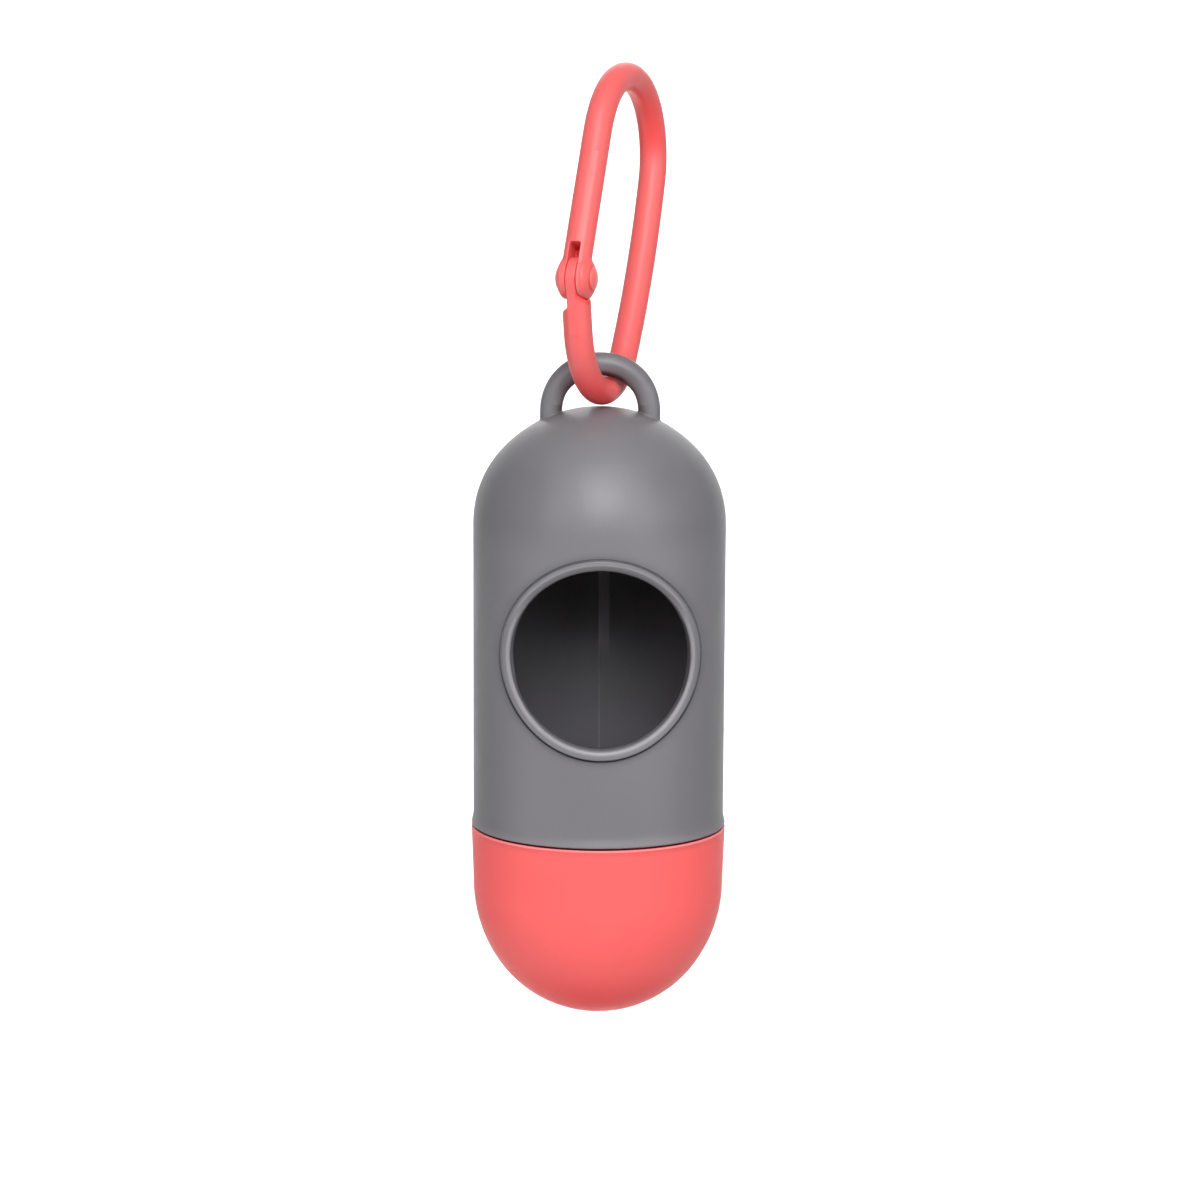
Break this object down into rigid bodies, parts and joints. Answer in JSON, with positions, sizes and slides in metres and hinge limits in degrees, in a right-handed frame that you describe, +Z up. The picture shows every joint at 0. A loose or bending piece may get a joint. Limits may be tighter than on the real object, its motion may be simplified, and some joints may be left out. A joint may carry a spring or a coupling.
{
  "type": "dog waste bag dispenser",
  "caption": "Upright capsule for a roll of waste bags: domed grey barrel with a round front window and top ring, pull-off coral end cap, and a gated coral clip through the ring.",
  "frame": {"origin": "inside of the clip's top bend, where a lead, strap or belt loop carries it", "axes": "+Z up along the capsule's axis, away from its round bottom; -Y out of the dispensing window, to within a degree; +X to the window's right as it is faced"},
  "size_m": [0.0406, 0.046, 0.1511],
  "materials": {
    "shell_plastic": "fine satin",
    "cap_plastic": "fine satin",
    "clip_plastic": "satin",
    "pin_painted": "satin",
    "spring_steel": "bright drawn"
  },
  "bodies": {
    "clip": {"clip_body": "clip_plastic"},
    "clip_gate": {"gate": "clip_plastic", "gate_pin": "pin_painted", "gate_spring": "spring_steel"},
    "capsule": {"shell": "shell_plastic"},
    "end_cap": {"cap": "cap_plastic"}
  },
  "joints": [
    {"name": "gate_pivot", "type": "hinge", "parent": "clip", "child": "clip_gate", "pos_m": [-0.00766, -0.02199, -0.0289], "axis": [-0.9444, 0.3289, 0], "range_deg": [0, 40], "stiffness_Nm_per_rad": 0.004, "springref_deg": -68.75, "deforming": ["gate_spring"]},
    {"name": "dispenser_swing", "type": "hinge", "parent": "clip", "child": "capsule", "pos_m": [-0.00352, -0.01011, -0.03476], "axis": [0.9444, -0.3289, 0], "range_deg": [-60, 40]},
    {"name": "cap_pull", "type": "slide", "parent": "capsule", "child": "end_cap", "axis": [0, 0, -1], "range_m": [0, 0.032]}
  ]
}
